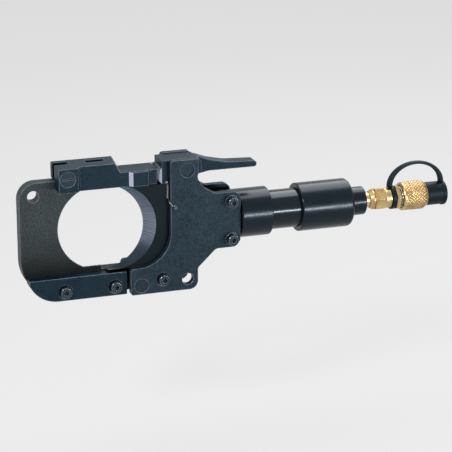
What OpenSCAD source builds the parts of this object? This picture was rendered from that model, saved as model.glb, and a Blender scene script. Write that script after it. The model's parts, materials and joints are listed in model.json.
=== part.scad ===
// Remote hydraulic cable cutter: a hinged frame closes round the cable, and a short ram
// pushes a curved blade across the frame's fixed plate. X runs along the ram towards the
// hose coupler, Y is the thickness of the frame and Z is up. All sizes are in millimetres.
// The origin is the middle of the cable opening, on the shear plane.

/* [Cutting frame] */
// Diameter of the cable opening
throat_d = 100; // [80:1:120]
// Width of the frame between the opening and its far edge
far_leg = 43.6; // [40:0.2:56]
// Height of the frame below the opening
foot_h = 29; // [27:0.5:36]
// Height of the fixed plate above the opening
brow_h = 8.5; // [7:0.5:11]
// Thickness of the fixed plate
fixed_t = 14; // [12:0.1:14]
// Thickness of the moving blade
blade_t = 14.3; // [14:0.1:18]
// How far the bevel cuts back into the blade's front face
bevel_w = 11.5; // [6:0.5:14]
// Diameter of the hole that the frame hangs by
hang_d = 13.5; // [8:0.5:16]

/* [Hinged arm] */
// Height of the arm's neck
arm_h = 17.2; // [16:0.2:21]
// Rise of the fork block above the neck
fork_h = 10.9; // [9:0.1:12.9]
// Length of the fork block
fork_len = 65.5; // [60:0.5:68]
// How far the fork's boss stands out of the neck's front face
boss_out = 6; // [5:0.5:8]
// Diameter of the slotted head of the arm pin
arm_pin_d = 17.5; // [14:0.5:18]

/* [Side plates] */
// Thickness of one side plate
side_t = 7.4; // [6:0.2:10]
// Width of the plates at the latch
plate_neck = 33.5; // [31:0.5:38]
// Diameter of the hinge pin and of the latch pin
pin_d = 16.4; // [14:0.2:18]
// Diameter of the hole for a carrying ring
carry_d = 13.5; // [8:0.5:16]
// Thread diameter of the screws
screw_d = 8; // [6:0.5:9]

/* [Latch] */
// Reach of the latch lever beyond the latch pin
lever_len = 88.5; // [74:0.5:95]
// Width of the latch lever
lever_w = 16; // [12:0.2:18]
// Diameter of the cross pin that holds the arm
hook_d = 8; // [6:0.5:9]
// Outer diameter of the latch spring
latch_spring_d = 2.8; // [2.6:0.1:3]

/* [Cylinder] */
// Bore of the cylinder
bore_d = 36; // [32:0.5:38]
// Wall of the cylinder tube
tube_wall = 5; // [4:0.5:6]
// Diameter of the piston rod
rod_d = 22; // [18:0.5:22.5]
// Diameter of the cylinder head and of the rear sleeve
head_d = 57; // [54:0.5:60]
// Length of the head's collar
collar_len = 38.2; // [30:0.2:50]
// Length of the piston
piston_len = 23; // [20:1:30]
// Length of the rear sleeve over the tube
sleeve_over = 56; // [40:1:70]
// Diameter of the neck that takes the hose nipple
neck_d = 33.6; // [28:0.2:40]
// Length of that neck
neck_len = 19.3; // [16:0.1:26]

/* [Hose coupler] */
// Width across the flats of the coupler's hexagon
hex_af = 23.6; // [22:0.2:28]
// Length of the hexagon
hex_len = 20.4; // [14:0.2:26]
// Diameter of the knurled sleeve
grip_d = 34.4; // [32:0.2:38]
// Length of the knurled sleeve
grip_len = 31.8; // [28:0.2:40]
// Bore that takes the hose's plug
plug_d = 14.4; // [13.6:0.2:15]
// Diameter of the dust cap
cap_d = 27.8; // [24:0.2:32]
// Length of the dust cap outside the coupler
cap_len = 24.7; // [18:0.1:30]
// Height of the cap strap above the coupler's axis
strap_rise = 40.4; // [36:0.2:50]

/* [Clearances] */
// Radial clearance of a pin, a thread or a sliding fit
fit = 0.05; // [0.02:0.01:0.1]
// Running gap between faces that slide past each other
run = 0.3; // [0.2:0.05:0.5]
// Gap between the blade and the fixed plate
shear = 0.1; // [0.05:0.01:0.2]

/* [Hidden] */
$fn = 64;

// Levels and stations that several pieces share
r = throat_d / 2;
foot_z = -(r + foot_h);
brow_z = r + brow_h;
bar_top = -(r + 2);
arm_z = r - 1;
neck_z = arm_z + arm_h;
fork_z = neck_z + fork_h;
plate_z = fork_z - 1.1;
blade_hi = arm_z - 1;
blade_lo = -(r + 1.5);
inner_y = blade_t + shear + 0.2;
outer_y = inner_y + side_t;
arm_y = inner_y - 0.1;
latch_y = inner_y - run;
edge_x = r + 27;
head_x = edge_x + 84.5;
head_r = head_d / 2;
lobe_z = head_r + 4.6;
screw_r = screw_d / 2;
tapped_r = screw_r + fit;
through_r = screw_r + 0.25;
screw_head_r = screw_d * 0.8125;
sink_r = screw_head_r + 1.75;

// Pins: [x, z]
hinge = [edge_x - 35.7, foot_z + 10.5];
latch_at = [edge_x + 20, plate_z - 12.5];
hook_at = [edge_x - 7, latch_at[1] - 0.2];
tab_at = [edge_x - 9.7, foot_z + 15.8];
carry_at = [edge_x + 19.5, foot_z + 13];
head_bolt_at = [[head_x - 12.5, head_r - 6], [head_x - 12.5, 6 - head_r]];
bar_bolt_at = [[-(r - 3.6), foot_z + 10.7], [hinge[0] - 29, foot_z + 10.7]];
arm_pin_at = [-(r - 8.2), fork_z - 12.1];
spring_pin_at = [edge_x + 4.8, 21.6];
stud_at = [edge_x - 3.1, arm_z + 0.4];
hang_at = [-(r + far_leg - 16.4), brow_z - 15.7];
pin_r = pin_d / 2;
hook_r = hook_d / 2;

// Ram
stroke = throat_d + 2;
holder_x = edge_x + 23;
blade_tail = edge_x + 50.5;
holder_tail = edge_x + 60;
holder_h = 20;
rod_r = rod_d / 2;
tube_r = bore_d / 2 + tube_wall;
tube_x = head_x + 1.5;
tube_end = tube_x + stroke + piston_len + 4;
piston_x = tube_end - 1 - piston_len;
cap_x = tube_end - sleeve_over;
cap_end = tube_end + 9.5;
neck_end = cap_end + neck_len;
rod_bore = rod_r - 3;
spring_r = rod_bore - 2;

// Coupler
nipple_end = neck_end + 7.2;
hex_end = nipple_end + hex_len;
hex_x = nipple_end + 6.4;
ring_x = hex_end + 7;
flange_x = ring_x + 5.6;
barrel_x = flange_x + 4.5;
grip_x = barrel_x + 3.5;
grip_end = grip_x + grip_len;
barrel_r = plug_d / 2 + 4;
grip_r = grip_d / 2;
cap_face = grip_end + run;
cap_tip = cap_face + cap_len;
cap_r = cap_d / 2;

function unit(v) = v / norm(v);
// One corner p between a and b, rounded by radius q
function rounded(a, p, b, q) = q <= 0 ? [p] :
    let (u = unit(a - p), v = unit(b - p), half = acos(u * v) / 2,
        c = p + unit(u + v) * q / sin(half),
        s = p + u * q / tan(half) - c, e = p + v * q / tan(half) - c,
        a0 = atan2(s[1], s[0]), da = (atan2(e[1], e[0]) - a0 + 540) % 360 - 180,
        n = max(2, ceil(abs(da) / 8)))
    [for (i = [0:n]) c + q * [cos(a0 + da * i / n), sin(a0 + da * i / n)]];
// Closed outline from corners [x, z, radius]
function outline(c) = let (n = len(c)) [for (i = [0:n - 1])
    let (a = c[(i + n - 1) % n], p = c[i], b = c[(i + 1) % n])
    each rounded([a[0], a[1]], [p[0], p[1]], [b[0], b[1]], p[2])];

// A flat shape in the XZ plane, thick from y0 to y1
module slab(y0, y1) {
    translate([0, y1, 0]) rotate([90, 0, 0]) linear_extrude(y1 - y0) children();
}

// A round bar or hole along Y at p = [x, z]
module bar_y(p, rad, y0, y1) {
    translate([p[0], y0, p[1]]) rotate([-90, 0, 0]) cylinder(r = rad, h = y1 - y0);
}

// A solid turned about the X axis from corners [radius, x, corner radius]
module turned(c) {
    rotate([0, 90, 0]) rotate_extrude() polygon(outline(c));
}

// A ring about the X axis
module ring(r0, r1, x0, x1, edge = 0) {
    turned([[r0, x0, 0], [r1, x0, edge], [r1, x1, edge], [r0, x1, 0]]);
}

// A socket screw along Y: head towards -Y on the face at y, thread len long
module socket_screw(p, y, len) {
    h = screw_d;
    translate([p[0], y, p[1]]) rotate([90, 0, 0]) {
        difference() {
            rotate_extrude() polygon([[0, 0], [screw_head_r, 0], [screw_head_r, h - 0.8],
                [screw_head_r - 0.8, h], [0, h]]);
            translate([0, 0, h * 0.45])
                cylinder(d = screw_d * 0.87, h = h, $fn = 6);
        }
        translate([0, 0, -len]) cylinder(r = screw_r, h = len + 1);
    }
}

// A hexagon nut along Y with its seat at y
module nut(p, y) {
    translate([p[0], y, p[1]]) rotate([-90, 0, 0]) difference() {
        cylinder(d = screw_d * 1.875, h = screw_d * 0.85, $fn = 6);
        translate([0, 0, -1]) cylinder(r = tapped_r, h = screw_d + 2);
    }
}

// Directions along a path, and one side vector carried along it without twist
function heading(p, i) = unit(p[min(i + 1, len(p) - 1)] - p[max(i - 1, 0)]);
function square_to(u, t) = unit(u - (u * t) * t);

// Round wire of radius w swept along the points p
module sweep(p, w, sides = 6) {
    n = len(p);
    t = [for (i = [0:n - 1]) heading(p, i)];
    u = [for (i = 0, v = square_to([0.3, 0.5, 1], t[0]); i < n;
        i = i + 1, v = i < n ? square_to(v, t[i]) : v) v];
    pts = [for (i = [0:n - 1]) for (j = [0:sides - 1]) let (a = 360 * j / sides)
        p[i] + w * (cos(a) * u[i] + sin(a) * cross(t[i], u[i]))];
    walls = [for (i = [0:n - 2]) for (j = [0:sides - 1])
        let (a = i * sides + j, b = i * sides + (j + 1) % sides)
        each [[a, a + sides, b + sides], [a, b + sides, b]]];
    ends = [[for (j = [0:sides - 1]) j],
        [for (j = [0:sides - 1]) n * sides - 1 - j]];
    polyhedron(pts, concat(walls, ends), convexity = 10);
}

// Points of a coil about the Z axis: mean radius m, from z0 to z1
function helix(m, z0, z1, turns, seg = 10) = [for (i = [0:turns * seg])
    [m * cos(360 * i / seg), m * sin(360 * i / seg), z0 + (z1 - z0) * i / (turns * seg)]];

// Points of a hook in the XZ plane round [x, z], from angle a0 to a1
function hook(x, y, z, m, a0, a1) = [for (i = [0:12]) let (a = a0 + (a1 - a0) * i / 12)
    [x + m * cos(a), y, z + m * sin(a)]];

// A spring along X from x0 to x1
module coil_x(m, w, x0, x1, turns) {
    translate([x0, 0, 0]) rotate([0, 90, 0]) sweep(helix(m, w, x1 - x0 - w, turns), w);
}

module plate_outline() {
    polygon(outline([
        [edge_x, plate_z, 3],
        [edge_x + plate_neck, plate_z, 1.5],
        [edge_x + plate_neck, arm_z + 10.5, 1.5],
        [edge_x + plate_neck - 1.3, arm_z + 7.5, 1.5],
        [edge_x + plate_neck - 1.3, arm_z + 3.5, 8],
        [edge_x + plate_neck + 6.4, lobe_z + 8, 14],
        [edge_x + plate_neck + 20, lobe_z, 8],
        [head_x - 1, lobe_z, 9],
        [head_x - 1, 7 - lobe_z, 3],
        [head_x - 7.5, -lobe_z, 3],
        [edge_x + 54, -lobe_z, 8],
        [edge_x + 32, foot_z + 25, 5],
        [edge_x + 32, foot_z, 10],
        [hinge[0] - 12.8, foot_z, 3],
        [hinge[0] - 12.8, foot_z + 31.5, 4.5],
        [edge_x, foot_z + 31.5, 38.5]]));
}

// One side plate with its outer face towards -Y
module side_plate(anchor) {
    difference() {
        slab(-outer_y, -inner_y) plate_outline();
        bar_y(hinge, pin_r + fit, -outer_y - 1, 0);
        bar_y(latch_at, pin_r + fit, -outer_y - 1, 0);
        bar_y(tab_at, through_r, -outer_y - 1, 0);
        bar_y(tab_at, sink_r, -outer_y - 1, -outer_y + 1.5);
        bar_y(carry_at, carry_d / 2, -outer_y - 1, 0);
        for (p = head_bolt_at) bar_y(p, through_r, -outer_y - 1, 0);
        if (anchor) bar_y(spring_pin_at, 1.6 + fit, -outer_y - 1, 0);
    }
}

module front_side_plate() {
    color("#3d464f") side_plate(true);
}

module back_side_plate() {
    color("#3d464f") mirror([0, 1, 0]) side_plate(false);
}

module cylinder_head() {
    color("#1c1f23") difference() {
        union() {
            ring(rod_r, head_r, head_x, head_x + collar_len, 1.5);
            intersection() {
                turned([[rod_r, head_x - 22.5, 0], [head_r, head_x - 22.5, 6],
                    [head_r, head_x + 1, 0], [rod_r, head_x + 1, 0]]);
                slab(-inner_y, inner_y) translate([head_x - 30, -head_r - 1])
                    square([60, head_d + 2]);
            }
        }
        ring(0, rod_r + run, head_x - 30, tube_x + 1);
        ring(0, rod_r + 2 + fit, head_x - 18, head_x - 1.5);
        ring(0, rod_r + 2.6 + fit, head_x - 30, head_x - 18);
        ring(0, tube_r + fit, tube_x, head_x + collar_len + 1);
        ring(0, tube_r + 2.2, tube_x + 3, tube_x + 6.2);
        for (p = head_bolt_at) bar_y(p, through_r, -inner_y - 1, inner_y + 1);
    }
}

module cylinder_tube() {
    color("#23272c") ring(bore_d / 2, tube_r, tube_x, tube_end, 0.5);
}

module rear_cap() {
    color("#1c1f23") turned([
        [tube_r + fit, cap_x, 0], [head_r, cap_x, 1.5], [head_r, cap_end, 5],
        [neck_d / 2, cap_end, 0.8], [neck_d / 2, neck_end, 1.2], [7.2 + fit, neck_end, 0],
        [7.2 + fit, neck_end - 14, 0], [3, neck_end - 14, 0], [3, tube_end - 8, 0],
        [spring_r - 1 - run, tube_end - 8, 0.5], [spring_r - 1 - run, tube_end, 0],
        [tube_r + fit, tube_end, 0]]);
}

module rod_bush() {
    color("#b08d57") ring(rod_r + fit, rod_r + 2, head_x - 16, head_x - 1.5, 0.3);
}

module rod_seal() {
    color("#2e5a3a") ring(rod_r + fit, rod_r + 2, head_x - 18, head_x - 16, 0.2);
}

module rod_wiper() {
    color("#222222") turned([
        [rod_r + fit, head_x - 22.3, 0], [rod_r + 1, head_x - 22.3, 0.3],
        [rod_r + 1.6, head_x - 21.5, 0], [rod_r + 2.6, head_x - 21.5, 0],
        [rod_r + 2.6, head_x - 18, 0], [rod_r + fit, head_x - 18, 0]]);
}

module tube_seal() {
    color("#222222") translate([tube_x + 4.6, 0, 0]) rotate([0, 90, 0])
        rotate_extrude() translate([tube_r + fit + 1.05, 0]) circle(r = 1.05, $fn = 24);
}

module head_bolts() {
    color("#2b2f34") for (p = head_bolt_at) socket_screw(p, -outer_y - 3, 2 * outer_y + 11);
}

module head_washers() {
    color("#2b2f34") for (p = head_bolt_at) difference() {
        bar_y(p, screw_head_r + 1, -outer_y - 3, -outer_y);
        bar_y(p, tapped_r, -outer_y - 4, 0);
    }
}

module head_nuts() {
    color("#2b2f34") for (p = head_bolt_at) nut(p, outer_y);
}

module tab_bolt() {
    color("#2b2f34") socket_screw(tab_at, -outer_y + 1.5, 2 * outer_y + 5);
}

module tab_spacer() {
    color("#30353b") difference() {
        bar_y(tab_at, screw_r + 3.5, -inner_y, inner_y);
        bar_y(tab_at, tapped_r, -inner_y - 1, inner_y + 1);
    }
}

module tab_nut() {
    color("#2b2f34") nut(tab_at, outer_y - 1.5);
}

module hinge_pin() {
    color("#5a636d") bar_y(hinge, pin_r, -outer_y + 1.2, outer_y - 1.2);
}

module hinge_spacer() {
    color("#30353b") difference() {
        bar_y(hinge, pin_r + 3, -inner_y + 0.1, -0.2);
        bar_y(hinge, pin_r + fit, -inner_y - 1, 1);
    }
}

module latch_pin() {
    color("#5a636d") bar_y(latch_at, pin_r, -outer_y + 1.8, outer_y - 1.8);
}

module spring_pin() {
    color("#6b7480") {
        bar_y(spring_pin_at, 1.6, -outer_y - 2.4, -inner_y - 0.4);
        bar_y(spring_pin_at, 2.2, -outer_y - 2.9, -outer_y - 1.7);
    }
}

// Rail behind the blade on the back plate, one above and one below the blade holder
module guide_rail(z0, z1) {
    slab(0.2, inner_y) polygon(outline([[edge_x + 1, z0, 1], [edge_x + 35, z0, 1],
        [edge_x + 35, z1, 6], [edge_x + 1, z1, 1]]));
}

module upper_guide_rail() {
    color("#4a525b") guide_rail(holder_h + 1, lobe_z + 8);
}

module lower_guide_rail() {
    color("#4a525b") guide_rail(-holder_h - 1, -lobe_z - 8);
}

module hose_nipple() {
    color("#c9a25a") {
        ring(3.2, 7.2, neck_end - 12, neck_end + 1);
        ring(3.2, 8.8, neck_end, nipple_end, 0.5);
        ring(3.2, 6.5, nipple_end - 1, nipple_end + 9);
    }
}

module coupler_body() {
    color("#c9a25a") difference() {
        union() {
            turned([[0, nipple_end, 0], [hex_af / 2 - 2.2, nipple_end, 0],
                [hex_af / 2 + 0.2, nipple_end + 4.4, 0.5], [hex_af / 2 + 0.2, hex_x - 1, 0],
                [hex_af / 2 - 0.9, hex_x - 1, 0], [hex_af / 2 - 0.9, hex_x + 1, 0],
                [0, hex_x + 1, 0]]);
            intersection() {
                translate([hex_x, 0, 0]) rotate([17, 0, 0]) rotate([0, 90, 0])
                    cylinder(d = hex_af / cos(30), h = hex_end - hex_x, $fn = 6);
                turned([[0, hex_x, 0], [hex_af / 2 + 0.9, hex_x, 0],
                    [hex_af / cos(30) / 2 + 0.1, hex_x + 0.7, 0],
                    [hex_af / cos(30) / 2 + 0.1, hex_end - 2, 0],
                    [hex_af / 2 - 0.2, hex_end, 0], [0, hex_end, 0]]);
            }
            ring(0, hex_af / 2 + 0.2, hex_end - 1, ring_x, 0.8);
            ring(0, hex_af / 2 - 1.8, ring_x - 1, flange_x);
        }
        ring(0, 6.5 + fit, nipple_end - 1, nipple_end + 10);
        ring(0, 3.4, nipple_end, flange_x + 1);
        ring(0, 6, ring_x, flange_x + 1);
        ring(0, 8 + fit, hex_end - 4, flange_x + 1);
    }
}

module coupler_barrel() {
    color("#c9a25a") difference() {
        union() {
            translate([flange_x, 0, 0]) rotate([17, 0, 0]) rotate([0, 90, 0])
                cylinder(d = 27 / cos(30), h = barrel_x - flange_x, $fn = 6);
            ring(0, barrel_r, barrel_x - 1, grip_end - 1, 0.4);
            ring(0, 8, hex_end - 3.8, flange_x + 1);
        }
        ring(0, 6, hex_end - 5, grip_end - 18);
        ring(0, 4, grip_end - 19, grip_end);
        ring(0, plug_d / 2, grip_end - 14, grip_end + 1);
        ring(barrel_r - 0.8, barrel_r + 1, grip_end - 2.6, grip_end - 1.3);
        for (a = [0:60:300]) rotate([a, 0, 0]) translate([grip_end - 6, 0, 0])
            cylinder(r = 1.6 + fit, h = barrel_r + 1);
    }
}

module snap_ring() {
    color("#8a929b") difference() {
        ring(barrel_r - 0.7, barrel_r + 1.1, grip_end - 2.55, grip_end - 1.35);
        translate([grip_end - 5, -1.5, 0]) cube([5, 3, barrel_r + 3]);
    }
}

module lock_balls() {
    color("#c8ccd0") for (a = [0:60:300]) rotate([a, 0, 0])
        translate([grip_end - 6, 0, barrel_r - 1.7]) sphere(r = 1.6, $fn = 24);
}

module strap_ring() {
    color("#15191c") ring(hex_af / 2 - 1.8 + fit, hoop_r, ring_x + 0.1, flange_x - 0.1, 0.6);
}

// The strap: half an ellipse from the ring over the coupler to the dust cap
hoop_r = hex_af / 2 + 2.2;
strap_mid = (ring_x + cap_tip - 4.2) / 2;
strap_a = (cap_tip - ring_x - 4.2) / 2;
module cap_strap() {
    z0 = 14;
    b = strap_rise - z0;
    color("#15191c") difference() {
        slab(-4, 4) polygon([for (s = [1, -1]) for (i = [0:32])
            let (t = 90 - s * (92 - 5.75 * i), h = s * (1.65 + 1.35 * pow(cos(t), 2)))
            [strap_mid - (strap_a + h) * cos(t), z0 + (b + h) * sin(t)]]);
        ring(0, hoop_r + fit, ring_x - 4, barrel_x);
        ring(0, cap_r + 1 + run, cap_tip - 14, cap_tip + 5);
    }
}

module fixed_outline() {
    polygon(outline([
        [-(r + far_leg), foot_z, 46],
        [hinge[0] + 10.5, foot_z, 10.5],
        [hinge[0] + 10.5, foot_z + 19, 5],
        [hinge[0] - 4, -r - 0.4, 5],
        [0, -r - 0.4, 0],
        [-4, 0, 0],
        [-4, brow_z, 0.5],
        [-(r + far_leg), brow_z, 20]]));
}

module fixed_plate() {
    color("#6d6f71") difference() {
        union() {
            slab(0, fixed_t) fixed_outline();
            bar_y(arm_pin_at, 6.5, 0.1, slot_y - 0.2);
            translate([arm_pin_at[0] - 6.5, 0.1, brow_z - 1])
                cube([13, slot_y - 0.3, arm_pin_at[1] - brow_z + 1]);
        }
        // the opening: a cutting edge with a flat at the bottom, relieved to the back
        intersection() {
            union() {
                bar_y([0, 0], r, -1, fixed_t + 1);
                translate([0, 0.8, 0]) rotate([-90, 0, 0])
                    cylinder(r1 = r, r2 = r + fixed_t * 0.38, h = fixed_t + 0.4);
            }
            rotate([90, 0, 90]) linear_extrude(4 * r, center = true) polygon([
                [-2, 4.6 - r], [0.8, 4.6 - r], [fixed_t + 1, 4.6 - r - fixed_t * 0.38],
                [fixed_t + 1, 2 * r], [-2, 2 * r]]);
        }
        bar_y(hinge, pin_r + fit, -1, fixed_t + 1);
        bar_y(hang_at, hang_d / 2, -1, fixed_t + 1);
        bar_y(arm_pin_at, screw_r + fit, -1, fixed_t);
        for (p = bar_bolt_at) bar_y(p, tapped_r, -1, fixed_t + 1);
    }
}

// The bar that keeps the blade against the fixed plate
module guide_bar() {
    color("#2f353c") difference() {
        slab(-inner_y + 0.1, 0) intersection() {
            polygon(outline([[-(r + far_leg - 3.4), foot_z, 35.5],
                [hinge[0] - 15.3, foot_z, 1], [hinge[0] - 15.3, 0, 0],
                [-(r + far_leg - 3.4), 0, 0]]));
            polygon(outline([[-(r + far_leg - 6.3), foot_z - 5, 0],
                [hinge[0] - 15.3, foot_z - 5, 0], [hinge[0] - 15.3, bar_top, 0.8],
                [-(r + far_leg - 6.3), bar_top, 1]]));
        }
        for (p = bar_bolt_at) {
            bar_y(p, tapped_r, -inner_y - 1, 1);
            bar_y(p, sink_r, -inner_y - 1, -inner_y + 2.1);
        }
    }
}

module bar_bolts() {
    color("#2b2f34") for (p = bar_bolt_at)
        socket_screw(p, -inner_y + 2.1, inner_y + fixed_t - 3.1);
}

fork_x = -(r + 2.2);
fork_end = fork_x + fork_len;
arm_back = fixed_t + 3.6;
slot_y = fixed_t - 2.6;
tongue_x = edge_x - 14.4;
tongue_w = arm_y - 6.3;
module gate_arm() {
    boss_y = arm_y + boss_out;
    boss_x = arm_pin_at[0] + 12;
    lug_x = edge_x - 42;
    color("#39424b") difference() {
        union() {
            // boss of the front fork ear
            difference() {
                slab(-boss_y, -0.2) polygon(outline([[fork_x, arm_z + 0.3, 1],
                    [fork_x, fork_z, 1], [boss_x + 8, fork_z, 0],
                    [boss_x + 8, arm_z + 1, 0], [boss_x - 4, arm_z + 0.3, 3]]));
                translate([boss_x, -boss_y, arm_z - 1]) rotate([0, 0, -28])
                    cube([20, 40, fork_z], center = false);
            }
            // block in front of the fixed plate, bridge and rear ear
            difference() {
                union() {
                    slab(-arm_y, -0.2) translate([arm_pin_at[0] + 8, arm_z])
                        square([fork_end - arm_pin_at[0] + 4, fork_z - arm_z]);
                    slab(-1, arm_back) translate([arm_pin_at[0] + 6.9, brow_z + 0.2])
                        square([fork_end - arm_pin_at[0] + 5, fork_z - brow_z - 0.2]);
                }
                translate([fork_end + 0.9, -arm_y, fork_z]) rotate([0, -29, -8])
                    translate([0, -30, -60]) cube([40, 90, 90]);
            }
            slab(slot_y, arm_back) polygon(outline([[fork_x, brow_z + 0.2, 1],
                [fork_x, fork_z, 1], [fork_end - 9, fork_z, 0],
                [fork_end - 9, brow_z + 0.2, 0]]));
            // neck and tongue
            slab(-arm_y, arm_y) polygon([[-3.7, arm_z], [tongue_x, arm_z],
                [tongue_x, latch_at[1] - 2.5], [edge_x - 13.1, latch_at[1] + 1],
                [edge_x - 13.1, neck_z], [-3.7, neck_z]]);
            slab(-tongue_w, tongue_w) polygon(outline([[tongue_x - 1, arm_z, 0],
                [edge_x + 3, arm_z, 1], [edge_x + 3, hook_at[1] + 0.9, 1.5],
                [hook_at[0], hook_at[1] + 0.9, 0], [hook_at[0], neck_z - 0.7, 0],
                [tongue_x - 1, neck_z - 0.7, 0]]));
            // lug on the neck's front face
            translate([0, 0, arm_z]) linear_extrude(arm_h - 0.7) polygon([
                [lug_x - 4.6, -arm_y + 0.5], [lug_x - 4.6, -arm_y],
                [lug_x - 0.8, -arm_y - 3.8], [lug_x + 17.5, -arm_y - 3.8],
                [lug_x + 17.5, -arm_y + 0.5]]);
        }
        translate([lug_x + 17.5, -arm_y - 1, arm_z - 1]) cube([2.5, 2.5, arm_h + 2]);
        // blind pocket behind the bridge
        translate([fork_end - 28.5, 0.3, fork_z - 12]) cube([21.5, slot_y - 2, 20]);
        // seat of the latch's cross pin
        bar_y(hook_at, hook_r + run, -inner_y, inner_y);
        translate([hook_at[0] - hook_r - run, -inner_y, hook_at[1]])
            cube([2 * (hook_r + run), 2 * inner_y, 20]);
        bar_y(arm_pin_at, screw_r + fit, -boss_y - 1, arm_back + 1);
        bar_y(arm_pin_at, arm_pin_d / 2 + 0.25, -boss_y - 1, -boss_y + 5.2);
    }
}

module arm_pin() {
    y0 = -(arm_y + boss_out);
    color("#5a636d") difference() {
        union() {
            bar_y(arm_pin_at, arm_pin_d / 2, y0 + 0.3, y0 + 5.2);
            bar_y(arm_pin_at, screw_r, y0 + 5, arm_back + 6);
        }
        translate([arm_pin_at[0] - 5.8, y0 - 1, arm_pin_at[1] - 1]) cube([11.6, 3.6, 2]);
    }
}

module arm_pin_nut() {
    color("#2b2f34") difference() {
        bar_y(arm_pin_at, screw_head_r + 1.5, arm_back, arm_back + 5);
        bar_y(arm_pin_at, tapped_r, arm_back - 1, arm_back + 8);
    }
}

// The latch: a crown over the arm's tongue, two cheeks beside it and the lever
module latch() {
    x = latch_at[0];
    z = latch_at[1];
    hub = pin_r + 3.3;
    slot = tongue_w + run;
    color("#434c55") difference() {
        union() {
            difference() {
                slab(-latch_y, latch_y) union() {
                    polygon(outline([[x - 28, neck_z + 0.1, 0], [x - 28, plate_z - 1, 0.8],
                        [x + 15, plate_z - 1, 2], [x + 19, plate_z - 5, 2],
                        [x + 19, z - 6, 3], [x + 6, z - 9, 0], [x - 22, z - 14.5, 0],
                        [x - 28, z - 15.5, 2], [x - 32.5, z - 10.5, 1],
                        [x - 32.5, neck_z + 0.1, 0]]));
                    translate(latch_at) circle(r = hub);
                }
                difference() {
                    slab(-slot, slot) translate([x - 40, z - 30])
                        square([40, neck_z + 0.4 - z + 30]);
                    bar_y(latch_at, hub, -inner_y, inner_y);
                }
                // slanted left corners of the cheeks
                for (s = [-1, 1]) scale([1, s, 1]) translate([0, 0, z - 30])
                    linear_extrude(neck_z - z + 30) polygon([[x - 34, latch_y + 1],
                        [x - 34, latch_y - 4.5], [x - 32.5, latch_y - 4.5],
                        [x - 28, latch_y], [x - 28, latch_y + 1]]);
            }
            slab(-lever_w / 2, lever_w / 2) polygon(outline([[x + 4, plate_z - 1, 0],
                [x + 17, plate_z - 1.2, 4], [x + 31, z + 6, 18], [x + 52, z + 1.5, 30],
                [x + lever_len - 0.6, z - 0.2, 3.2], [x + lever_len - 0.6, z - 6.9, 3.2],
                [x + 30, z - 6.7, 14], [x + 18, z - 9, 2], [x + 4, z - 9, 0]]));
        }
        bar_y(latch_at, pin_r + fit, -inner_y, inner_y);
        bar_y(hook_at, hook_r + fit, -latch_y + 2.4, inner_y);
        bar_y(stud_at, 1 + fit, -inner_y, -inner_y + 5);
    }
}

module hook_pin() {
    color("#8a929b") bar_y(hook_at, hook_r, -latch_y + 2.5, latch_y - 0.5);
}

module spring_stud() {
    color("#8a929b") bar_y(stud_at, 1, -latch_y - 3.2, -latch_y + 4);
}

// Tension spring from the latch's stud to the pin on the side plate
module latch_spring() {
    w = 0.3;
    m = latch_spring_d / 2 - w;
    x = edge_x - m - w - 0.35;
    y = -latch_y - m - w - 0.35;
    ey = -outer_y - 0.9;
    low = spring_pin_at[1] + 9.6;
    top = stud_at[1] - 2.4;
    eye = 1.6 + run / 2 + w;
    turns = 14;
    color("#c9ced3") sweep(concat(
        hook(stud_at[0], y, stud_at[1], 1 + run / 2 + w, 230, -60),
        [for (p = helix(m, 0, low - top, turns, 12)) p + [x, y, top]],
        [[edge_x - 1.5, y - 2.6, low - 2.6], [edge_x - 1.3, ey, low - 4.4]],
        hook(spring_pin_at[0], ey, spring_pin_at[1], eye, 150, -150)), w);
}

module piston() {
    p = piston_x;
    color("#9aa3ad") turned([
        [rod_r - 1.5 + fit, p, 0], [bore_d / 2 - fit, p, 0.8], [bore_d / 2 - fit, p + 9, 0],
        [bore_d / 2 - 3.5, p + 9, 0], [bore_d / 2 - 3.5, p + 17, 0],
        [bore_d / 2 - fit, p + 17, 0], [bore_d / 2 - fit, p + piston_len, 0.8],
        [rod_bore, p + piston_len, 0], [rod_bore, p + 16, 0], [rod_r - 1.5 + fit, p + 16, 0]]);
}

module piston_seal() {
    color("#222222") ring(bore_d / 2 - 3.4, bore_d / 2 - fit, piston_x + 9.1,
        piston_x + 14.4, 0.3);
}

module backup_ring() {
    color("#dfe3e6") ring(bore_d / 2 - 3.4, bore_d / 2 - fit, piston_x + 14.5,
        piston_x + 16.9);
}

module piston_rod() {
    color("#c8ccd0") difference() {
        union() {
            ring(0, rod_r, holder_tail, piston_x);
            ring(0, rod_r - 2, holder_tail - 8, holder_tail + 1, 0.5);
            ring(0, rod_r - 1.5, piston_x - 1, piston_x + 15.8);
        }
        ring(spring_r - 1 - run, rod_bore, holder_tail + 13, holder_tail + 21.1);
        ring(0, rod_bore, holder_tail + 21, piston_x + 20);
    }
}

module blade_holder() {
    color("#4a525b") difference() {
        union() {
            slab(-shear, latch_y) polygon(outline([[holder_x, -holder_h, 2],
                [holder_x, holder_h, 2], [holder_tail, holder_h, 1],
                [holder_tail, -holder_h, 1]]));
            slab(-latch_y, latch_y) polygon(outline([[blade_tail + 0.2, -holder_h, 0],
                [blade_tail + 0.2, holder_h, 0], [holder_tail, holder_h, 1],
                [holder_tail, -holder_h, 1]]));
        }
        ring(0, rod_r - 2 + fit, holder_tail - 8.1, holder_tail + 1);
        for (s = [-1, 1]) bar_y([edge_x + 35, s * 11], tapped_r, -1, latch_y - 2);
    }
}

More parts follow.
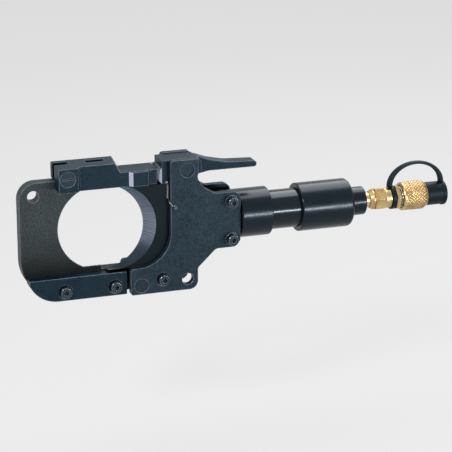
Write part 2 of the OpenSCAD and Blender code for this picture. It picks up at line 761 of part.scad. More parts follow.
// The blade's edge is the opening's circle; the bevel leans back towards the ram
module moving_blade() {
    tip = r * 0.94;
    color("#31363c") difference() {
        slab(-blade_t - shear, -shear) polygon(outline([
            [r * 0.34, blade_hi - 3.3, 0], [r * 0.56, blade_hi, 0],
            [holder_x + 4, blade_hi, 3], [blade_tail - 5.5, 26, 4], [blade_tail, 26, 3],
            [blade_tail, -26, 3], [blade_tail - 5.5, -26, 4], [holder_x + 4, blade_lo, 3],
            [r * 0.09, blade_lo, 0.3], [r * 0.09, -r * 0.5, 0]]));
        hull() {
            bar_ring(0, 0, -shear + 0.02);
            bar_ring(bevel_w, 2, -blade_t - shear - 0.02);
        }
        // the horn's lower edge leans back clear of the guide bar
        translate([0, 0, blade_lo]) rotate([90, 0, 90]) linear_extrude(edge_x - 10)
            polygon([[-3.5, -0.1], [-blade_t - 1, 4], [-blade_t - 1, -2], [-3.5, -2]]);
        for (s = [-1, 1]) {
            bar_y([edge_x + 35, s * 11], through_r, -blade_t - 1, 1);
            bar_y([edge_x + 35, s * 11], screw_head_r + 0.3, -blade_t - 1,
                -blade_t - shear + screw_d + 0.4);
        }
    }
}

// A thin disc of the opening's size at [x, z], used to lean the bevel
module bar_ring(x, z, y) {
    translate([x, y, z]) rotate([90, 0, 0]) cylinder(r = r, h = 0.02, $fn = 96);
}

module blade_screws() {
    color("#2b2f34") for (s = [-1, 1])
        socket_screw([edge_x + 35, s * 11], -blade_t - shear + screw_d + 0.4,
            blade_t + latch_y - screw_d - 3.4);
}

module return_spring() {
    color("#aab2ba") coil_x(spring_r, 1, holder_tail + 13.3, tube_end - 0.3, 24);
}

module coupler_sleeve() {
    g = grip_r;
    color("#c9a25a") turned([
        [barrel_r + 2.8, grip_x, 0], [g - 1.4, grip_x, 0.5], [g - 0.3, grip_x + 1.2, 0.5],
        [g - 0.3, grip_x + 9, 0], [g - 0.9, grip_x + 10, 0.5], [g, grip_x + 12.5, 1],
        [g, grip_end - 5, 3], [g - 3, grip_end, 2], [barrel_r + 1.3, grip_end, 0],
        [barrel_r + 1.3, grip_end - 2.7, 0], [barrel_r + 0.1, grip_end - 2.7, 0],
        [barrel_r + 0.1, grip_x + 11, 0], [barrel_r + 2.8, grip_x + 11, 0]]);
}

module coupler_spring() {
    color("#aab2ba") coil_x(barrel_r + 1.4, 0.7, barrel_x + 0.2, grip_x + 10.8, 5);
}

module valve_poppet() {
    color("#9aa3ad") turned([[0, ring_x + 4, 0], [1.8, ring_x + 4, 0.3],
        [1.8, grip_end - 22, 0], [5.6, grip_end - 22, 0], [5.6, grip_end - 18.1, 0],
        [3.7, grip_end - 18.1, 0], [3.7, grip_end - 12.6, 0.8], [0, grip_end - 12.6, 0]]);
}

module poppet_spring() {
    color("#aab2ba") coil_x(4.2, 0.6, ring_x + 0.3, grip_end - 22.2, 6);
}

module dust_cap() {
    color("#15191c") turned([[0, grip_end - 9.5, 0], [plug_d / 2 - run, grip_end - 9.5, 1],
        [plug_d / 2 - run, cap_face, 0], [cap_r, cap_face, 0.6], [cap_r, cap_tip - 5, 0.6],
        [cap_r + 0.9, cap_tip - 4.4, 0.5], [cap_r + 0.9, cap_tip, 1.6], [0, cap_tip, 0]]);
}

front_side_plate();
back_side_plate();
cylinder_head();
cylinder_tube();
rear_cap();
rod_bush();
rod_seal();
rod_wiper();
tube_seal();
head_bolts();
head_washers();
head_nuts();
tab_bolt();
tab_spacer();
tab_nut();
hinge_pin();
hinge_spacer();
latch_pin();
spring_pin();
upper_guide_rail();
lower_guide_rail();
hose_nipple();
coupler_body();
coupler_barrel();
snap_ring();
lock_balls();
strap_ring();
cap_strap();
fixed_plate();
guide_bar();
bar_bolts();
gate_arm();
arm_pin();
arm_pin_nut();
latch();
hook_pin();
spring_stud();
latch_spring();
piston();
piston_seal();
backup_ring();
piston_rod();
blade_holder();
moving_blade();
blade_screws();
return_spring();
coupler_sleeve();
coupler_spring();
valve_poppet();
poppet_spring();
dust_cap();
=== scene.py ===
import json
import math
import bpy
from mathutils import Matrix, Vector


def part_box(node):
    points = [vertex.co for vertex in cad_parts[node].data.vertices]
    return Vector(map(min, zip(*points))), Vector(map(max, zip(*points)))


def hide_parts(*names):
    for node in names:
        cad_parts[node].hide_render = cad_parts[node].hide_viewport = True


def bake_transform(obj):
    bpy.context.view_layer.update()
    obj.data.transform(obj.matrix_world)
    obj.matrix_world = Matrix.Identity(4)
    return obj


bl_info = {
    "name": "Cable cutter head",
    "version": (1, 0, 0),
    "blender": (4, 5, 0),
    "location": "View3D > Sidebar > Cutter",
    "description": "Finishes, soft parts and studio for a hydraulic cable cutter head",
    "category": "Object",
}

import bpy
from mathutils import Vector

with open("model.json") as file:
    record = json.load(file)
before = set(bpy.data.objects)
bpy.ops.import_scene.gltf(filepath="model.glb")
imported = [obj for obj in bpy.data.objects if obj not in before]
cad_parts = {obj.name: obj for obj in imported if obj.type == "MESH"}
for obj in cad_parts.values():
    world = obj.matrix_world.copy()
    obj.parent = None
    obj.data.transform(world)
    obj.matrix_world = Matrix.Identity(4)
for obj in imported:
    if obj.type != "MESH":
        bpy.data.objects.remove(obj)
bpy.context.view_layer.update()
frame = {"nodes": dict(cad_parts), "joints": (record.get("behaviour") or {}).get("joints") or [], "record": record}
NODES = frame["nodes"]

# tint of the shine on blackened steel
COOL = (0.62, 0.86, 1.0)
WHITE = (1.0, 1.0, 1.0)
# the blade's ground bevel fades out between these distances from the opening's axis
BEVEL_RADIUS = (0.0655, 0.068)
KNURL_TEETH, GRIP_RADIUS = 24.0, 0.0172
# height that the strap's arc turns about, and half of its angle in degrees
STRAP_BASE, STRAP_SWEEP = 0.014, 92
# doubles nearer than this are merged, and a coil's edge past this many degrees stays sharp
MERGE, CREASE = 1e-6, 40
LAMP_AIM = (0.12, 0, 0)
FLOOR_GAP = 0.005
# the photograph's camera, fitted to the outline
AZIMUTH, ELEVATION, DISTANCE, LENS = 18.83, 17.74, 2.314, 158.8
CAMERA_AIM = (0.15045, 0.0, -0.0146)


# ---------------------------------------------------------------- shader maths
class Value:
    """An output socket that can be used in sums; each sum adds a Math node."""

    def __init__(self, finish, socket):
        self.finish = finish
        self.socket = socket

    def _sum(self, operation, a, b=0.0):
        return self.finish.node("ShaderNodeMath", {"operation": operation}, {0: a, 1: b})

    def __add__(self, other):
        return self._sum("ADD", self, other)

    def __radd__(self, other):
        return self._sum("ADD", other, self)

    def __sub__(self, other):
        return self._sum("SUBTRACT", self, other)

    def __rsub__(self, other):
        return self._sum("SUBTRACT", other, self)

    def __mul__(self, other):
        return self._sum("MULTIPLY", self, other)

    def __rmul__(self, other):
        return self._sum("MULTIPLY", other, self)

    def __truediv__(self, other):
        return self._sum("DIVIDE", self, other)

    def __pow__(self, other):
        return self._sum("POWER", self, other)

    def __abs__(self):
        return self._sum("ABSOLUTE", self)

    def at_most(self, other):
        return self._sum("MINIMUM", self, other)

    def sine(self):
        return self._sum("SINE", self)

    def angle(self, other):
        return self._sum("ARCTAN2", self, other)


class Finish:
    """One material, built node by node round a Principled shader."""

    def __init__(self, name):
        self.material = bpy.data.materials.new(name)
        self.material.use_nodes = True
        self.tree = self.material.node_tree
        self.shader = self.tree.nodes["Principled BSDF"]
        self.output = self.tree.nodes["Material Output"]
        self.place = self.node("ShaderNodeTexCoord", {}, {}, "Object")

    def node(self, kind, settings, sockets, output=0):
        made = self.tree.nodes.new(kind)
        for key, value in settings.items():
            if key == "stops":
                ramp = made.color_ramp
                while len(ramp.elements) > 2:
                    ramp.elements.remove(ramp.elements[-1])
                while len(ramp.elements) < len(value):
                    ramp.elements.new(0.5)
                for element, (position, grey) in zip(ramp.elements, value):
                    element.position = position
                    element.color = (grey, grey, grey, 1)
            else:
                setattr(made, key, value)
        for key, value in sockets.items():
            self.put(made.inputs[key], value)
        return Value(self, made.outputs[output])

    def put(self, socket, value):
        if isinstance(value, Value):
            self.tree.links.new(value.socket, socket)
        elif isinstance(value, (tuple, list)) and len(value) == 3 and socket.type == "RGBA":
            socket.default_value = (*value, 1)
        else:
            socket.default_value = value

    def set(self, **sockets):
        for key, value in sockets.items():
            self.put(self.shader.inputs[key.replace("_", " ")], value)

    def noise(self, scale, detail=4.0, rough=0.55, stretch=None):
        place = self.place
        if stretch:
            place = self.node("ShaderNodeMapping", {}, {"Vector": place, "Scale": stretch})
        return self.node("ShaderNodeTexNoise", {}, {"Vector": place, "Scale": scale,
                         "Detail": detail, "Roughness": rough}, "Fac")

    def ramp(self, value, *stops):
        return self.node("ShaderNodeValToRGB", {"stops": stops}, {"Fac": value})

    def mix(self, amount, a, b):
        return self.node("ShaderNodeMix", {"data_type": "RGBA"}, {0: amount, 6: a, 7: b}, 2)

    def split(self, vector):
        made = self.tree.nodes.new("ShaderNodeSeparateXYZ")
        self.put(made.inputs[0], vector)
        return [Value(self, socket) for socket in made.outputs]

    def axes(self):
        """Place on the part, as x, y and z."""
        return self.split(self.place)

    def facing(self):
        """Direction that the surface faces, as x, y and z."""
        return self.split(self.node("ShaderNodeTexCoord", {}, {}, "Normal"))

    def rounded(self, radius):
        """Normal of the surface as if its edges were rounded to this radius."""
        return self.node("ShaderNodeBevel", {"samples": 6}, {"Radius": radius})

    def edges(self, round_normal):
        """0 on flats, rising to 1 on edges."""
        plain = self.node("ShaderNodeNewGeometry", {}, {}, "Normal")
        same = self.node("ShaderNodeVectorMath", {"operation": "DOT_PRODUCT"},
                         {0: round_normal, 1: plain}, "Value")
        return self.ramp(1.0 - same, (0.004, 0.0), (0.07, 1.0))

    def bump(self, height, distance, normal=None):
        sockets = {"Height": height, "Distance": distance, "Strength": 1.0}
        if normal:
            sockets["Normal"] = normal
        return self.node("ShaderNodeBump", {}, sockets, "Normal")


def paint(*rgb):
    """Linear colour from three 0 to 255 values."""
    return tuple(v / 3294.6 if v <= 10 else ((v / 255 + 0.055) / 1.055) ** 2.4 for v in rgb)


def tint(colour, amount):
    """The colour made darker or lighter."""
    return tuple(amount * c for c in colour)


def coated_steel(name, colour, rough=0.42, metal=0.1, grain=1.0, coat=0.0, wear_and_sheen=1.0,
                 edge=0.0012, gloss=0.13, cool=COOL, shade=None, painted_slant_highlight=False):
    """Blackened and oiled steel: mottled, finely grained, and rubbed lighter on its edges, that lighter rim being
    partly wear and partly a painted highlight; it can also take painted shade, and painted highlights on
    left-facing slants.
    """
    f = Finish(name)
    cloud = f.noise(38.0, 5.0, 0.6)
    speck = f.noise(620.0, 3.0, 0.7)
    smear = f.noise(16.0, 6.0, 0.7, stretch=(1.0, 1.0, 0.45))
    base = f.mix(f.ramp(cloud, (0.32, 0.0), (0.68, 1.0)), tint(colour, 0.72), tint(colour, 1.22))
    base = f.mix(f.ramp(speck, (0.46, 0.0), (0.68, 0.7)), base, tint(colour, 2.6))
    base = f.mix(f.ramp(f.noise(330.0, 3.0, 0.7), (0.34, 0.6), (0.48, 0.0)), base,
                 tint(colour, 0.3))
    # painted shade: where the shade mask falls below 1 the colour is darkened towards black
    if shade:
        base = f.mix(shade(f), (0.0, 0.0, 0.0), base)
    normal = f.rounded(edge)
    # edges are painted lighter: partly rubbed wear, partly a painted highlight where the edges catch the light
    rub_and_sheen = f.edges(normal) * f.ramp(f.noise(90.0, 4.0, 0.7), (0.30, 0.35), (0.65, 1.0)) * wear_and_sheen
    base = f.mix(rub_and_sheen * 0.85, base, paint(132, 141, 152))
    if painted_slant_highlight:
        # painted highlight: slanted faces turned to the left and towards the front or back are painted bright and
        # more metallic, as if lit from the left
        nx, ny, _ = f.facing()
        left_slant_highlight = f.ramp((abs(ny) - nx) * 0.5, (0.66, 0.0), (0.69, 1.0))
        base = f.mix(left_slant_highlight * 0.9, base, paint(176, 178, 196))
        rub_and_sheen = rub_and_sheen + 0.9 * left_slant_highlight
    roughness = (rough + 0.12 * (cloud - 0.5) - 0.12 * f.ramp(smear, (0.45, 0.0), (0.7, 1.0))
                 + 0.10 * (speck - 0.5))
    f.set(Base_Color=base, Metallic=metal + 0.35 * rub_and_sheen, Roughness=roughness, Coat_Weight=coat,
          Coat_Roughness=0.2, Specular_IOR_Level=gloss, Specular_Tint=cool,
          Normal=f.bump(speck + 0.5 * f.noise(190.0, 3.0, 0.6), 0.00010 * grain, normal))
    return f.material


def ground_blade(name):
    """Blackened blade, its face painted darker still as painted shade, whose slanted bevel is ground bright, with
    lines across the edge and painted shade along the bevel's height.
    """
    f = Finish(name)
    x, _, z = f.axes()
    _, ny, _ = f.facing()
    cloud = f.noise(45.0, 5.0, 0.6)
    speck = f.noise(620.0, 3.0, 0.7)
    turn = z.angle(x)
    grind = f.node("ShaderNodeTexNoise", {"noise_dimensions": "1D"},
                   {"W": turn * 85.0, "Scale": 1.0, "Detail": 4.0, "Roughness": 0.8}, "Fac")
    slope = f.ramp(abs(ny), (0.05, 0.0), (0.30, 1.0), (0.93, 1.0), (0.99, 0.0))
    near, far = BEVEL_RADIUS
    inside = f.ramp((x * x + z * z) ** 0.5, (near, 1.0), (far, 0.0))
    bevel = slope * inside
    # the blade's face is blackened and painted darker still, as painted shade
    dark = f.mix(f.ramp(cloud, (0.3, 0.0), (0.7, 1.0)), paint(2, 5, 7), paint(6, 10, 13))
    dark = f.mix(f.ramp(speck, (0.5, 0.0), (0.74, 0.5)), dark, paint(18, 27, 33))
    bright = f.mix(f.ramp(grind, (0.36, 0.0), (0.64, 1.0)), paint(40, 51, 64),
                   paint(166, 174, 192))
    # painted shade and painted reflection: the ground bevel is darkest at the bottom, brightest in its middle and
    # dimmer at the top
    painted_bevel_shade = f.ramp(z * 10.0 + 0.5 + 0.15 * (cloud - 0.5), (0.0, 0.05), (0.22, 0.15), (0.42, 0.75),
                   (0.62, 1.0), (0.85, 0.6), (1.0, 0.3))
    bright = f.mix(painted_bevel_shade, paint(30, 46, 56), bright)
    normal = f.rounded(0.0006)
    f.set(Base_Color=f.mix(bevel, dark, bright), Metallic=0.8 * bevel, Specular_IOR_Level=0.12,
          Specular_Tint=COOL,
          Roughness=0.42 - 0.06 * bevel + 0.35 * (grind - 0.5) * bevel,
          Normal=f.bump(grind * bevel + 0.3 * speck, 0.00022, normal))
    return f.material


def gloss_black(name, colour, rough=0.24, gloss=0.26):
    """Turned and blackened steel with fine lathe lines round the axis."""
    f = Finish(name)
    lathe = f.noise(1400.0, 2.0, 0.5, stretch=(1.0, 0.02, 0.02))
    cloud = f.noise(30.0, 5.0, 0.6)
    speck = f.noise(620.0, 3.0, 0.7)
    base = f.mix(f.ramp(cloud, (0.35, 0.0), (0.7, 1.0)), tint(colour, 0.75), tint(colour, 1.25))
    base = f.mix(f.ramp(speck, (0.52, 0.0), (0.76, 0.4)), base, tint(colour, 2.0))
    normal = f.rounded(0.0007)
    # edges are painted lighter: partly rubbed wear, partly a painted highlight where the edges catch the light
    rub_and_sheen = f.edges(normal) * f.ramp(f.noise(90.0, 4.0, 0.7), (0.30, 0.3), (0.65, 1.0))
    f.set(Base_Color=f.mix(rub_and_sheen * 0.7, base, paint(105, 114, 128)), Metallic=0.5 * rub_and_sheen,
          Roughness=rough + 0.12 * (cloud - 0.5) + 0.10 * (speck - 0.5),
          Specular_IOR_Level=gloss, Specular_Tint=(0.76, 0.86, 1.0),
          Normal=f.bump(lathe + 0.4 * speck, 0.00004, normal))
    return f.material


def bare_brass(name, knurled=False):
    """Machined brass, dulled in patches; the grip also has a diamond knurl."""
    f = Finish(name)
    cloud = f.noise(70.0, 5.0, 0.65)
    fine = f.noise(800.0, 2.0, 0.6)
    lathe = f.noise(1500.0, 2.0, 0.5, stretch=(1.0, 0.02, 0.02))
    base = f.mix(f.ramp(cloud, (0.32, 0.0), (0.7, 1.0)), paint(172, 139, 86), paint(214, 189, 142))
    base = f.mix(f.ramp(fine, (0.48, 0.0), (0.72, 0.5)), base, paint(128, 94, 50))
    rough = 0.30 + 0.16 * (cloud - 0.5) + 0.12 * (fine - 0.5)
    normal = f.rounded(0.0004)
    if not knurled:
        f.set(Base_Color=base, Metallic=0.95, Roughness=rough,
              Normal=f.bump(0.6 * fine + lathe, 0.00006, normal))
        return f.material
    x, y, z = f.axes()
    turn = z.angle(y) * KNURL_TEETH
    run = x * (KNURL_TEETH / GRIP_RADIUS)
    rise = abs((0.5 * (turn + run)).sine()).at_most(abs((0.5 * (turn - run)).sine()))
    start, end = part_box("coupler_sleeve")
    mid = 0.5 * (start.x + end.x)
    band = f.ramp(abs(x - mid) / (end.x - mid), (0.78, 1.0), (0.84, 0.0))
    low = f.ramp(rise, (0.0, 1.0), (0.45, 0.0))
    base = f.mix(low * band * 0.8, base, paint(104, 74, 34))
    f.set(Base_Color=base, Metallic=0.95, Roughness=rough + 0.08 * band,
          Normal=f.bump(rise * band + 0.3 * fine, 0.00045, normal))
    return f.material


def moulded_rubber(name, colour, rough=0.45):
    """Black moulded rubber with a faint bloom."""
    f = Finish(name)
    cloud = f.noise(55.0, 4.0, 0.6)
    skin = f.noise(1300.0, 2.0, 0.6)
    base = f.mix(f.ramp(cloud, (0.35, 0.0), (0.75, 1.0)), tint(colour, 0.75), tint(colour, 1.4))
    f.set(Base_Color=base, Roughness=rough + 0.14 * (cloud - 0.5),
          Specular_IOR_Level=0.16, Specular_Tint=(0.6, 0.86, 1.0),
          Normal=f.bump(skin, 0.00005, f.rounded(0.0006)))
    return f.material


def bright_metal(name, colour, rough, lines=700.0, metal=1.0):
    """Plain metal with fine drawn or turned lines."""
    f = Finish(name)
    drawn = f.noise(lines, 2.0, 0.5, stretch=(1.0, 0.1, 0.1))
    cloud = f.noise(40.0, 4.0, 0.6)
    f.set(Base_Color=f.mix(f.ramp(cloud, (0.35, 0.0), (0.7, 1.0)), tint(colour, 0.7), colour),
          Metallic=metal, Roughness=rough + 0.10 * (drawn - 0.5),
          Normal=f.bump(drawn, 0.00003))
    return f.material


def moulded_plain(name, colour, rough):
    """Smooth moulded ring material."""
    f = Finish(name)
    cloud = f.noise(90.0, 3.0, 0.5)
    f.set(Base_Color=f.mix(f.ramp(cloud, (0.3, 0.0), (0.7, 1.0)), tint(colour, 0.85), colour),
          Roughness=rough + 0.1 * (cloud - 0.5), Normal=f.bump(cloud, 0.00003))
    return f.material


def dress(material, *names):
    """Gives CAD nodes a finish."""
    for name in names:
        mesh = NODES[name].data
        mesh.materials.clear()
        mesh.materials.append(material)


# ---------------------------------------------------------------- settings
class CutterFinishSettings(bpy.types.PropertyGroup):
    plates: bpy.props.FloatVectorProperty(
        name="Side plates", description="Colour of the side plates", subtype="COLOR", size=3,
        default=(0.0095, 0.0170, 0.0238), min=0.0, max=1.0)
    fixed: bpy.props.FloatVectorProperty(
        name="Fixed plate", description="Colour of the fixed plate", subtype="COLOR", size=3,
        default=(0.0205, 0.0252, 0.0262), min=0.0, max=1.0)
    arm: bpy.props.FloatVectorProperty(
        name="Arm and bar", description="Colour of the arm, the latch and the guide bar",
        subtype="COLOR", size=3, default=(0.0035, 0.0100, 0.0165), min=0.0, max=1.0)
    cylinder: bpy.props.FloatVectorProperty(
        name="Cylinder", description="Colour of the turned cylinder parts", subtype="COLOR",
        size=3, default=(0.0014, 0.0050, 0.0080), min=0.0, max=1.0)


class CutterStrapSettings(bpy.types.PropertyGroup):
    rise: bpy.props.FloatProperty(
        name="Rise", description="Height of the strap's mid-line above the coupler's axis",
        default=0.0404, min=0.03, max=0.06, unit="LENGTH")
    foot: bpy.props.FloatProperty(
        name="Foot", description="Thickness of the strap at its ends", default=0.0058,
        min=0.002, max=0.01, unit="LENGTH")
    crown: bpy.props.FloatProperty(
        name="Crown", description="Thickness of the strap at its top", default=0.0033,
        min=0.002, max=0.008, unit="LENGTH")
    width: bpy.props.FloatProperty(
        name="Width", description="Width of the strap", default=0.0076, min=0.003,
        max=0.012, unit="LENGTH")


class CutterStageSettings(bpy.types.PropertyGroup):
    ground: bpy.props.FloatVectorProperty(
        name="Ground", description="Colour of floor and backdrop", subtype="COLOR",
        size=3, default=(0.800, 0.800, 0.800), min=0.0, max=1.0)
    key: bpy.props.FloatProperty(
        name="Key lamp", description="Power of the soft lamp overhead", default=34.0,
        min=0.0, max=2000.0, unit="POWER")
    front: bpy.props.FloatProperty(
        name="Front lamp", description="Power of the low strip lamp in front", default=4.8,
        min=0.0, max=2000.0, unit="POWER")
    side: bpy.props.FloatProperty(
        name="Side lamp", description="Power of the lamp at the upper left", default=22.0,
        min=0.0, max=2000.0, unit="POWER")
    fill: bpy.props.FloatProperty(
        name="Sky", description="Strength of the even light from all round", default=0.15,
        min=0.0, max=3.0)


# ---------------------------------------------------------------- pieces
class CUTTER_OT_plates(bpy.types.Operator):
    """Finishes the plates, the arm, the bar, the latch, the rails and the blade"""
    bl_idname = "cutter.plates"
    bl_label = "Plates and arm"

    def execute(self, context):
        s = context.scene.cutter_finish
        dress(coated_steel("side_plate_steel", tuple(s.plates)), "front_side_plate",
              "back_side_plate")
        # the fixed plate is painted darker just above the guide bar, as painted shade
        dress(coated_steel("fixed_plate_steel", tuple(s.fixed), rough=0.46, metal=0.15,
                           grain=0.6, cool=(0.85, 0.98, 1.0), shade=self.painted_shade_above_bar),
              "fixed_plate")
        arm = tuple(s.arm)
        # the arm and the latch get painted highlights on their left-facing slants
        dress(coated_steel("arm_steel", arm, painted_slant_highlight=True), "gate_arm", "latch")
        dress(coated_steel("rail_steel", arm), "upper_guide_rail", "lower_guide_rail",
              "blade_holder")
        dress(coated_steel("bar_steel", tint(arm, 1.1)), "guide_bar")
        dress(ground_blade("blade_steel"), "moving_blade")
        return {"FINISHED"}

    def painted_shade_above_bar(self, f):
        """1 on the open plate, lower just above the guide bar, where the colour is painted darker as painted
        shade.
        """
        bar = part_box("guide_bar")[1].z
        z = f.axes()[2] + 0.006 * (f.noise(45.0, 4.0, 0.6) - 0.5)
        return f.ramp((z - bar) / 0.06, (0.0, 0.10), (0.22, 0.30), (0.5, 0.75), (1.0, 1.0))


class CUTTER_OT_cylinder(bpy.types.Operator):
    """Finishes the cylinder and the parts inside it"""
    bl_idname = "cutter.cylinder"
    bl_label = "Cylinder"

    def execute(self, context):
        colour = tuple(context.scene.cutter_finish.cylinder)
        dress(gloss_black("cylinder_black", colour), "cylinder_head", "rear_cap")
        dress(gloss_black("tube_black", tint(colour, 0.7), rough=0.16, gloss=0.34),
              "cylinder_tube")
        dress(bright_metal("rod_chrome", (0.78, 0.79, 0.80), 0.12), "piston_rod")
        dress(bright_metal("bush_bronze", (0.55, 0.36, 0.16), 0.35), "rod_bush")
        dress(bright_metal("turned_steel", (0.56, 0.57, 0.58), 0.3), "piston", "valve_poppet")
        dress(moulded_plain("seal_green", (0.03, 0.10, 0.05), 0.4), "rod_seal")
        dress(moulded_plain("ring_white", (0.78, 0.78, 0.76), 0.4), "backup_ring")
        return {"FINISHED"}


class CUTTER_OT_fasteners(bpy.types.Operator):
    """Finishes screws, nuts, pins and springs"""
    bl_idname = "cutter.fasteners"
    bl_label = "Screws, pins and springs"

    def execute(self, context):
        # the rims of heads and pins are painted lighter, as wear and as painted highlight
        dress(coated_steel("screw_black", paint(20, 30, 38), rough=0.28, metal=0.3, grain=0.5,
                           coat=0.4, wear_and_sheen=1.6, edge=0.0008),
              "head_bolts", "head_washers", "head_nuts", "tab_bolt", "tab_nut", "tab_spacer",
              "hinge_spacer", "bar_bolts", "arm_pin_nut", "blade_screws")
        dress(coated_steel("pin_steel", paint(20, 30, 38), rough=0.38, metal=0.2, grain=0.5,
                           coat=0.2, wear_and_sheen=1.2, edge=0.0008), "hinge_pin", "latch_pin", "arm_pin")
        dress(bright_metal("pin_dull", paint(58, 68, 78), 0.34, metal=0.7), "spring_stud",
              "spring_pin", "hook_pin")
        dress(bright_metal("spring_steel", paint(196, 200, 206), 0.28), "latch_spring",
              "return_spring", "coupler_spring", "poppet_spring", "snap_ring", "lock_balls")
        return {"FINISHED"}


class CUTTER_OT_coupler(bpy.types.Operator):
    """Finishes the brass hose coupler, its seals and the dust cap"""
    bl_idname = "cutter.coupler"
    bl_label = "Hose coupler"

    def execute(self, context):
        dress(bare_brass("coupler_brass"), "hose_nipple", "coupler_body", "coupler_barrel")
        dress(bare_brass("grip_brass", knurled=True), "coupler_sleeve")
        dress(moulded_rubber("cap_rubber", paint(9, 17, 21)), "dust_cap", "strap_ring",
              "cap_strap", "rod_wiper", "tube_seal", "piston_seal")
        return {"FINISHED"}


class CUTTER_OT_strap(bpy.types.Operator):
    """Bends the flat strap that holds the dust cap"""
    bl_idname = "cutter.strap"
    bl_label = "Cap strap"

    def execute(self, context):
        s = context.scene.cutter_strap
        low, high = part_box("cap_strap")
        mid = 0.5 * (low.x + high.x)
        half = 0.5 * (high.x - low.x) - 0.5 * s.foot
        bpy.ops.object.select_all(action="DESELECT")
        bpy.ops.mesh.primitive_cube_add(size=1.0, location=(0, 0, 0))
        strap = context.object
        strap.name = "bent_strap"
        bpy.ops.object.mode_set(mode="EDIT")
        bpy.ops.mesh.select_all(action="SELECT")
        bpy.ops.mesh.subdivide(number_cuts=40)
        bpy.ops.object.mode_set(mode="OBJECT")
        for v in strap.data.vertices:
            along, across, side = v.co.x, v.co.z, v.co.y
            angle = math.radians(STRAP_SWEEP) * 2 * along
            thick = s.crown + (s.foot - s.crown) * math.sin(angle) ** 2
            # the strap narrows a little towards its crown and its edges are rounded
            broad = s.width * (0.86 + 0.14 * math.sin(angle) ** 2)
            corner = 1.0 - 0.22 * (2 * abs(side)) ** 5
            edge = 1.0 - 0.12 * (2 * abs(across)) ** 5
            out = thick * across * corner
            v.co = Vector((mid + (half + out) * math.sin(angle), broad * side * edge,
                           STRAP_BASE + (s.rise - STRAP_BASE + out) * math.cos(angle)))
        bpy.ops.object.shade_smooth()
        strap.data.materials.append(bpy.data.materials["cap_rubber"])
        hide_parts("cap_strap")
        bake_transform(strap)
        return {"FINISHED"}


class CUTTER_OT_springs(bpy.types.Operator):
    """Puts a smooth copy of each coil spring in place of its CAD node"""
    bl_idname = "cutter.springs"
    bl_label = "Coil springs"

    def execute(self, context):
        for joint in frame["joints"]:
            for soft in joint.get("deforming_nodes", []):
                if soft["node"] in NODES and soft["node"] != "cap_strap":
                    self.coil(context, joint, soft["node"], soft)
        return {"FINISHED"}

    def coil(self, context, joint, node, soft):
        letter = soft["mode"][-1]
        axis = "xyz".index(letter)
        low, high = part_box(node)
        start, end = low.copy(), low.copy()
        start[axis] = soft[f"fixed_end_{letter}_m"]
        end[axis] = max(low[axis], high[axis], key=lambda place: abs(place - start[axis]))
        coil = bpy.data.objects.new(f"live_{node}", NODES[node].data.copy())
        context.scene.collection.objects.link(coil)
        coil.data.materials.clear()
        coil.data.materials.append(bpy.data.materials["spring_steel"])
        bpy.ops.object.select_all(action="DESELECT")
        coil.select_set(True)
        context.view_layer.objects.active = coil
        bpy.ops.object.mode_set(mode="EDIT")
        bpy.ops.mesh.select_all(action="SELECT")
        bpy.ops.mesh.remove_doubles(threshold=MERGE)
        bpy.ops.object.mode_set(mode="OBJECT")
        bpy.ops.object.shade_smooth_by_angle(angle=math.radians(CREASE))
        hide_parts(node)
        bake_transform(coil)


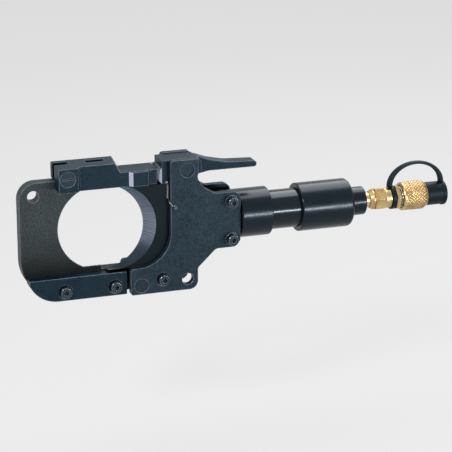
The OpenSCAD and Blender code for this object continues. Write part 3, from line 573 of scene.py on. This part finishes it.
class CUTTER_OT_stage(bpy.types.Operator):
    """Lays the pale floor and sets lamps, sky and camera"""
    bl_idname = "cutter.stage"
    bl_label = "Studio"

    def execute(self, context):
        s = context.scene.cutter_stage
        scene = context.scene
        floor_z = self.floor_height()
        bpy.ops.object.select_all(action="DESELECT")
        bpy.ops.mesh.primitive_plane_add(size=16.0, location=(0, 0, floor_z))
        floor = context.object
        floor.name = "floor"
        floor.data.materials.append(self.ground(s))
        self.lamp("key_lamp", (0.72, 0.50, 1.40), 1.0, 2.0, s.key)
        self.lamp("front_lamp", (0.90, -1.80, 0.02), 1.3, 0.16, s.front, spread=70.0)
        self.lamp("side_lamp", (-1.05, -0.80, 0.90), 0.3, 0.3, s.side, (0.93, 0.94, 1.0))
        self.sky(scene, s)
        self.camera(scene)
        scene.view_settings.view_transform = "Standard"
        return {"FINISHED"}

    def floor_height(self):
        """Just below the lowest point that the opening gate can sweep through."""
        gate = next(j for j in frame["joints"] if j["name"] == "gate_swing")
        hinge = Vector(gate["pos_m"])
        reach = 0.0
        for node in frame["record"]["behaviour"]["bodies"][gate["child"]]:
            low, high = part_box(node)
            for x in (low.x, high.x):
                for z in (low.z, high.z):
                    reach = max(reach, math.hypot(x - hinge.x, z - hinge.z))
        return hinge.z - reach - FLOOR_GAP

    def lamp(self, name, place, width, height, power, colour=WHITE, spread=180.0):
        """A soft lamp, width by height, turned to the tool and hidden from the camera."""
        data = bpy.data.lights.new(name, "AREA")
        data.shape = "RECTANGLE"
        data.size = width
        data.size_y = height
        data.energy = power
        data.spread = math.radians(spread)
        data.color = colour
        lamp = bpy.data.objects.new(name, data)
        bpy.context.scene.collection.objects.link(lamp)
        lamp.location = place
        lamp.visible_camera = False
        aim = Vector(LAMP_AIM) - Vector(place)
        lamp.rotation_euler = aim.to_track_quat("-Z", "Y").to_euler()

    def seen(self, tree):
        """1 where the camera, a reflection or a view through glass meets the surface."""
        path = tree.nodes.new("ShaderNodeLightPath")
        total = path.outputs["Is Camera Ray"]
        for name in ("Is Glossy Ray", "Is Transmission Ray"):
            most = tree.nodes.new("ShaderNodeMath")
            most.operation = "MAXIMUM"
            tree.links.new(total, most.inputs[0])
            tree.links.new(path.outputs[name], most.inputs[1])
            total = most.outputs[0]
        return total

    def ground(self, s):
        """Pale floor: an even tone to the eye that still darkens in the object's shadow."""
        f = Finish("floor_pale")
        f.set(Base_Color=tuple(s.ground), Roughness=0.95)
        tree = f.tree
        even = tree.nodes.new("ShaderNodeEmission")
        even.inputs[0].default_value = (*s.ground, 1)
        share = tree.nodes.new("ShaderNodeMath")
        share.operation = "MULTIPLY"
        share.inputs[1].default_value = 0.85
        mix = tree.nodes.new("ShaderNodeMixShader")
        tree.links.new(self.seen(tree), share.inputs[0])
        tree.links.new(share.outputs[0], mix.inputs[0])
        tree.links.new(f.shader.outputs[0], mix.inputs[1])
        tree.links.new(even.outputs[0], mix.inputs[2])
        tree.links.new(mix.outputs[0], f.output.inputs[0])
        return f.material

    def sky(self, scene, s):
        world = scene.world or bpy.data.worlds.new("studio")
        scene.world = world
        world.use_nodes = True
        tree = world.node_tree
        tree.nodes.clear()
        out = tree.nodes.new("ShaderNodeOutputWorld")
        light = tree.nodes.new("ShaderNodeBackground")
        shown = tree.nodes.new("ShaderNodeBackground")
        mix = tree.nodes.new("ShaderNodeMixShader")
        light.inputs[0].default_value = (0.93, 0.97, 1.0, 1)
        light.inputs[1].default_value = s.fill
        shown.inputs[0].default_value = (*s.ground, 1)
        shown.inputs[1].default_value = 1.0
        tree.links.new(self.seen(tree), mix.inputs[0])
        tree.links.new(light.outputs[0], mix.inputs[1])
        tree.links.new(shown.outputs[0], mix.inputs[2])
        tree.links.new(mix.outputs[0], out.inputs[0])

    def camera(self, scene):
        azimuth, height = math.radians(AZIMUTH), math.radians(ELEVATION)
        back = Vector((-math.sin(azimuth) * math.cos(height),
                       -math.cos(azimuth) * math.cos(height), math.sin(height)))
        data = bpy.data.cameras.new("camera")
        data.lens = LENS
        data.sensor_width = 36.0
        data.clip_end = 50.0
        camera = bpy.data.objects.new("camera", data)
        scene.collection.objects.link(camera)
        camera.location = Vector(CAMERA_AIM) + back * DISTANCE
        camera.rotation_euler = (-back).to_track_quat("-Z", "Y").to_euler()
        scene.camera = camera


STEPS = (CUTTER_OT_stage, CUTTER_OT_plates, CUTTER_OT_cylinder, CUTTER_OT_fasteners,
         CUTTER_OT_coupler, CUTTER_OT_strap, CUTTER_OT_springs)


class CUTTER_PT_panel(bpy.types.Panel):
    """Lists the steps that dress the cutter"""
    bl_label = "Cutter"
    bl_idname = "CUTTER_PT_panel"
    bl_space_type = "VIEW_3D"
    bl_region_type = "UI"
    bl_category = "Cutter"

    def draw(self, context):
        for step in STEPS:
            self.layout.operator(step.bl_idname)
        for group in (context.scene.cutter_finish, context.scene.cutter_strap,
                      context.scene.cutter_stage):
            box = self.layout.box()
            for name in group.bl_rna.properties.keys():
                if name not in {"rna_type", "name"}:
                    box.prop(group, name)


GROUPS = (CutterFinishSettings, CutterStrapSettings, CutterStageSettings)


def register():
    for made in (*GROUPS, *STEPS, CUTTER_PT_panel):
        bpy.utils.register_class(made)
    bpy.types.Scene.cutter_finish = bpy.props.PointerProperty(type=CutterFinishSettings)
    bpy.types.Scene.cutter_strap = bpy.props.PointerProperty(type=CutterStrapSettings)
    bpy.types.Scene.cutter_stage = bpy.props.PointerProperty(type=CutterStageSettings)


def unregister():
    del bpy.types.Scene.cutter_stage
    del bpy.types.Scene.cutter_strap
    del bpy.types.Scene.cutter_finish
    for made in reversed((*GROUPS, *STEPS, CUTTER_PT_panel)):
        bpy.utils.unregister_class(made)


def main():
    register()
    bpy.ops.cutter.stage()
    bpy.ops.cutter.plates()
    bpy.ops.cutter.cylinder()
    bpy.ops.cutter.fasteners()
    bpy.ops.cutter.coupler()
    bpy.ops.cutter.strap()
    bpy.ops.cutter.springs()


if __name__ == "__main__":
    main()
